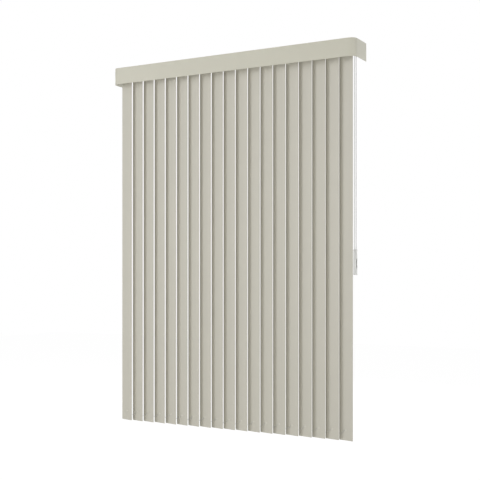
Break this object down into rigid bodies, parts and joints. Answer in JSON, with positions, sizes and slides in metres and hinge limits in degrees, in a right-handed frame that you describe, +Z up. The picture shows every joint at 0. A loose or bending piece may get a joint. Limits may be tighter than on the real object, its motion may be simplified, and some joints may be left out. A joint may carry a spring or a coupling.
{
  "type": "vertical blind",
  "caption": "Wall-mounted vertical blind: turning flat vanes on carriers in a slotted headrail behind a wrapped valance, worked by a bead chain loop with a weight.",
  "frame": {"origin": "on the wall plane, midway along the rail, at the centre of the middle bracket's two screw holes", "axes": "+X along the rail to the control end, +Y into the wall, +Z up"},
  "size_m": [1.559, 0.167, 2.1182],
  "materials": {
    "vanes": "smooth satin, warm off-white",
    "carriers": "moulded, natural white",
    "valance": "smooth satin, warm off-white",
    "rail": "mill finish extrusion",
    "white_moulding": "moulded white, soft gloss",
    "bracket": "white painted steel",
    "steel": "zinc plated",
    "cord": "braided white cord",
    "chain": "moulded white beads"
  },
  "bodies": {
    "root": {"headrail": "rail", "control_housing": "white_moulding", "housing_cover": "white_moulding", "idler_end_cap": "white_moulding", "pulley_pins": "steel", "traverse_cord": "cord", "valance": "valance", "valance_clips": "white_moulding", "wall_bracket_left": "bracket", "wall_bracket_centre": "bracket", "wall_bracket_right": "bracket", "rail_clips": "steel", "clip_bolts": "steel", "control_chain": "chain", "weight_inner_half": "white_moulding", "weight_outer_half": "white_moulding", "bottom_chain": "chain", "carrier_19": "carriers"},
    "carrier_01": {"carrier_01": "carriers"},
    "carrier_02": {"carrier_02": "carriers"},
    "carrier_03": {"carrier_03": "carriers"},
    "carrier_04": {"carrier_04": "carriers"},
    "carrier_05": {"carrier_05": "carriers"},
    "carrier_06": {"carrier_06": "carriers"},
    "carrier_07": {"carrier_07": "carriers"},
    "carrier_08": {"carrier_08": "carriers"},
    "carrier_09": {"carrier_09": "carriers"},
    "carrier_10": {"carrier_10": "carriers"},
    "carrier_11": {"carrier_11": "carriers"},
    "carrier_12": {"carrier_12": "carriers"},
    "carrier_13": {"carrier_13": "carriers"},
    "carrier_14": {"carrier_14": "carriers"},
    "carrier_15": {"carrier_15": "carriers"},
    "carrier_16": {"carrier_16": "carriers"},
    "carrier_17": {"carrier_17": "carriers"},
    "carrier_18": {"carrier_18": "carriers"},
    "vane_01": {"vane_01": "vanes"},
    "vane_02": {"vane_02": "vanes"},
    "vane_03": {"vane_03": "vanes"},
    "vane_04": {"vane_04": "vanes"},
    "vane_05": {"vane_05": "vanes"},
    "vane_06": {"vane_06": "vanes"},
    "vane_07": {"vane_07": "vanes"},
    "vane_08": {"vane_08": "vanes"},
    "vane_09": {"vane_09": "vanes"},
    "vane_10": {"vane_10": "vanes"},
    "vane_11": {"vane_11": "vanes"},
    "vane_12": {"vane_12": "vanes"},
    "vane_13": {"vane_13": "vanes"},
    "vane_14": {"vane_14": "vanes"},
    "vane_15": {"vane_15": "vanes"},
    "vane_16": {"vane_16": "vanes"},
    "vane_17": {"vane_17": "vanes"},
    "vane_18": {"vane_18": "vanes"},
    "vane_19": {"vane_19": "vanes"},
    "tilt_drive": {"tilt_rod": "rail", "chain_sprocket": "white_moulding"},
    "drive_pulley": {"drive_pulley": "white_moulding"},
    "idler_pulley": {"idler_pulley": "white_moulding"},
    "weight_pulley": {"weight_pulley": "white_moulding"}
  },
  "joints": [
    {"name": "traverse", "type": "slide", "parent": "root", "child": "carrier_01", "axis": [1, 0, 0], "range_m": [0, 1.134], "deforming": ["bottom_chain"]},
    {"name": "traverse_02", "type": "slide", "parent": "root", "child": "carrier_02", "axis": [1, 0, 0], "range_m": [0, 1.071]},
    {"name": "traverse_03", "type": "slide", "parent": "root", "child": "carrier_03", "axis": [1, 0, 0], "range_m": [0, 1.008]},
    {"name": "traverse_04", "type": "slide", "parent": "root", "child": "carrier_04", "axis": [1, 0, 0], "range_m": [0, 0.945]},
    {"name": "traverse_05", "type": "slide", "parent": "root", "child": "carrier_05", "axis": [1, 0, 0], "range_m": [0, 0.882]},
    {"name": "traverse_06", "type": "slide", "parent": "root", "child": "carrier_06", "axis": [1, 0, 0], "range_m": [0, 0.819]},
    {"name": "traverse_07", "type": "slide", "parent": "root", "child": "carrier_07", "axis": [1, 0, 0], "range_m": [0, 0.756]},
    {"name": "traverse_08", "type": "slide", "parent": "root", "child": "carrier_08", "axis": [1, 0, 0], "range_m": [0, 0.693]},
    {"name": "traverse_09", "type": "slide", "parent": "root", "child": "carrier_09", "axis": [1, 0, 0], "range_m": [0, 0.63]},
    {"name": "traverse_10", "type": "slide", "parent": "root", "child": "carrier_10", "axis": [1, 0, 0], "range_m": [0, 0.567]},
    {"name": "traverse_11", "type": "slide", "parent": "root", "child": "carrier_11", "axis": [1, 0, 0], "range_m": [0, 0.504]},
    {"name": "traverse_12", "type": "slide", "parent": "root", "child": "carrier_12", "axis": [1, 0, 0], "range_m": [0, 0.441]},
    {"name": "traverse_13", "type": "slide", "parent": "root", "child": "carrier_13", "axis": [1, 0, 0], "range_m": [0, 0.378]},
    {"name": "traverse_14", "type": "slide", "parent": "root", "child": "carrier_14", "axis": [1, 0, 0], "range_m": [0, 0.315]},
    {"name": "traverse_15", "type": "slide", "parent": "root", "child": "carrier_15", "axis": [1, 0, 0], "range_m": [0, 0.252]},
    {"name": "traverse_16", "type": "slide", "parent": "root", "child": "carrier_16", "axis": [1, 0, 0], "range_m": [0, 0.189]},
    {"name": "traverse_17", "type": "slide", "parent": "root", "child": "carrier_17", "axis": [1, 0, 0], "range_m": [0, 0.126]},
    {"name": "traverse_18", "type": "slide", "parent": "root", "child": "carrier_18", "axis": [1, 0, 0], "range_m": [0, 0.063]},
    {"name": "tilt", "type": "hinge", "parent": "carrier_01", "child": "vane_01", "pos_m": [-0.711, -0.117, 0], "axis": [0, 0, -1], "range_deg": [-4.5, 155.5]},
    {"name": "tilt_02", "type": "hinge", "parent": "carrier_02", "child": "vane_02", "pos_m": [-0.632, -0.117, 0], "axis": [0, 0, -1], "range_deg": [-4.5, 155.5]},
    {"name": "tilt_03", "type": "hinge", "parent": "carrier_03", "child": "vane_03", "pos_m": [-0.553, -0.117, 0], "axis": [0, 0, -1], "range_deg": [-4.5, 155.5]},
    {"name": "tilt_04", "type": "hinge", "parent": "carrier_04", "child": "vane_04", "pos_m": [-0.474, -0.117, 0], "axis": [0, 0, -1], "range_deg": [-4.5, 155.5]},
    {"name": "tilt_05", "type": "hinge", "parent": "carrier_05", "child": "vane_05", "pos_m": [-0.395, -0.117, 0], "axis": [0, 0, -1], "range_deg": [-4.5, 155.5]},
    {"name": "tilt_06", "type": "hinge", "parent": "carrier_06", "child": "vane_06", "pos_m": [-0.316, -0.117, 0], "axis": [0, 0, -1], "range_deg": [-4.5, 155.5]},
    {"name": "tilt_07", "type": "hinge", "parent": "carrier_07", "child": "vane_07", "pos_m": [-0.237, -0.117, 0], "axis": [0, 0, -1], "range_deg": [-4.5, 155.5]},
    {"name": "tilt_08", "type": "hinge", "parent": "carrier_08", "child": "vane_08", "pos_m": [-0.158, -0.117, 0], "axis": [0, 0, -1], "range_deg": [-4.5, 155.5]},
    {"name": "tilt_09", "type": "hinge", "parent": "carrier_09", "child": "vane_09", "pos_m": [-0.079, -0.117, 0], "axis": [0, 0, -1], "range_deg": [-4.5, 155.5]},
    {"name": "tilt_10", "type": "hinge", "parent": "carrier_10", "child": "vane_10", "pos_m": [0, -0.117, 0], "axis": [0, 0, -1], "range_deg": [-4.5, 155.5]},
    {"name": "tilt_11", "type": "hinge", "parent": "carrier_11", "child": "vane_11", "pos_m": [0.079, -0.117, 0], "axis": [0, 0, -1], "range_deg": [-4.5, 155.5]},
    {"name": "tilt_12", "type": "hinge", "parent": "carrier_12", "child": "vane_12", "pos_m": [0.158, -0.117, 0], "axis": [0, 0, -1], "range_deg": [-4.5, 155.5]},
    {"name": "tilt_13", "type": "hinge", "parent": "carrier_13", "child": "vane_13", "pos_m": [0.237, -0.117, 0], "axis": [0, 0, -1], "range_deg": [-4.5, 155.5]},
    {"name": "tilt_14", "type": "hinge", "parent": "carrier_14", "child": "vane_14", "pos_m": [0.316, -0.117, 0], "axis": [0, 0, -1], "range_deg": [-4.5, 155.5]},
    {"name": "tilt_15", "type": "hinge", "parent": "carrier_15", "child": "vane_15", "pos_m": [0.395, -0.117, 0], "axis": [0, 0, -1], "range_deg": [-4.5, 155.5]},
    {"name": "tilt_16", "type": "hinge", "parent": "carrier_16", "child": "vane_16", "pos_m": [0.474, -0.117, 0], "axis": [0, 0, -1], "range_deg": [-4.5, 155.5]},
    {"name": "tilt_17", "type": "hinge", "parent": "carrier_17", "child": "vane_17", "pos_m": [0.553, -0.117, 0], "axis": [0, 0, -1], "range_deg": [-4.5, 155.5]},
    {"name": "tilt_18", "type": "hinge", "parent": "carrier_18", "child": "vane_18", "pos_m": [0.632, -0.117, 0], "axis": [0, 0, -1], "range_deg": [-4.5, 155.5]},
    {"name": "tilt_19", "type": "hinge", "parent": "root", "child": "vane_19", "pos_m": [0.711, -0.117, 0], "axis": [0, 0, -1], "range_deg": [-4.5, 155.5]},
    {"name": "rod_turn", "type": "hinge", "parent": "root", "child": "tilt_drive", "pos_m": [0.768, -0.1275, -0.004], "axis": [1, 0, 0], "range_deg": [-54, 1866]},
    {"name": "weight_pulley_turn", "type": "hinge", "parent": "root", "child": "weight_pulley", "pos_m": [0.768, -0.1275, -1.15], "axis": [1, 0, 0], "range_deg": [-54, 1866]},
    {"name": "drive_pulley_turn", "type": "hinge", "parent": "root", "child": "drive_pulley", "pos_m": [0.743, -0.106, -0.004], "axis": [0, 1, 0], "range_deg": [0, 9281.93]},
    {"name": "idler_pulley_turn", "type": "hinge", "parent": "root", "child": "idler_pulley", "pos_m": [-0.743, -0.106, -0.004], "axis": [0, 1, 0], "range_deg": [0, 9281.93]}
  ],
  "couplings": [
    {"joint": "traverse_02", "follows": "traverse", "ratio": 0.94444},
    {"joint": "traverse_03", "follows": "traverse", "ratio": 0.88889},
    {"joint": "traverse_04", "follows": "traverse", "ratio": 0.83333},
    {"joint": "traverse_05", "follows": "traverse", "ratio": 0.77778},
    {"joint": "traverse_06", "follows": "traverse", "ratio": 0.72222},
    {"joint": "traverse_07", "follows": "traverse", "ratio": 0.66667},
    {"joint": "traverse_08", "follows": "traverse", "ratio": 0.61111},
    {"joint": "traverse_09", "follows": "traverse", "ratio": 0.55556},
    {"joint": "traverse_10", "follows": "traverse", "ratio": 0.5},
    {"joint": "traverse_11", "follows": "traverse", "ratio": 0.44444},
    {"joint": "traverse_12", "follows": "traverse", "ratio": 0.38889},
    {"joint": "traverse_13", "follows": "traverse", "ratio": 0.33333},
    {"joint": "traverse_14", "follows": "traverse", "ratio": 0.27778},
    {"joint": "traverse_15", "follows": "traverse", "ratio": 0.22222},
    {"joint": "traverse_16", "follows": "traverse", "ratio": 0.16667},
    {"joint": "traverse_17", "follows": "traverse", "ratio": 0.11111},
    {"joint": "traverse_18", "follows": "traverse", "ratio": 0.055556},
    {"joint": "tilt_02", "follows": "tilt", "ratio": 1},
    {"joint": "tilt_03", "follows": "tilt", "ratio": 1},
    {"joint": "tilt_04", "follows": "tilt", "ratio": 1},
    {"joint": "tilt_05", "follows": "tilt", "ratio": 1},
    {"joint": "tilt_06", "follows": "tilt", "ratio": 1},
    {"joint": "tilt_07", "follows": "tilt", "ratio": 1},
    {"joint": "tilt_08", "follows": "tilt", "ratio": 1},
    {"joint": "tilt_09", "follows": "tilt", "ratio": 1},
    {"joint": "tilt_10", "follows": "tilt", "ratio": 1},
    {"joint": "tilt_11", "follows": "tilt", "ratio": 1},
    {"joint": "tilt_12", "follows": "tilt", "ratio": 1},
    {"joint": "tilt_13", "follows": "tilt", "ratio": 1},
    {"joint": "tilt_14", "follows": "tilt", "ratio": 1},
    {"joint": "tilt_15", "follows": "tilt", "ratio": 1},
    {"joint": "tilt_16", "follows": "tilt", "ratio": 1},
    {"joint": "tilt_17", "follows": "tilt", "ratio": 1},
    {"joint": "tilt_18", "follows": "tilt", "ratio": 1},
    {"joint": "tilt_19", "follows": "tilt", "ratio": 1},
    {"joint": "rod_turn", "follows": "tilt", "ratio": 12},
    {"joint": "weight_pulley_turn", "follows": "tilt", "ratio": 12},
    {"joint": "drive_pulley_turn", "follows": "traverse", "rad_per_m": 142.86},
    {"joint": "idler_pulley_turn", "follows": "traverse", "rad_per_m": 142.86}
  ]
}
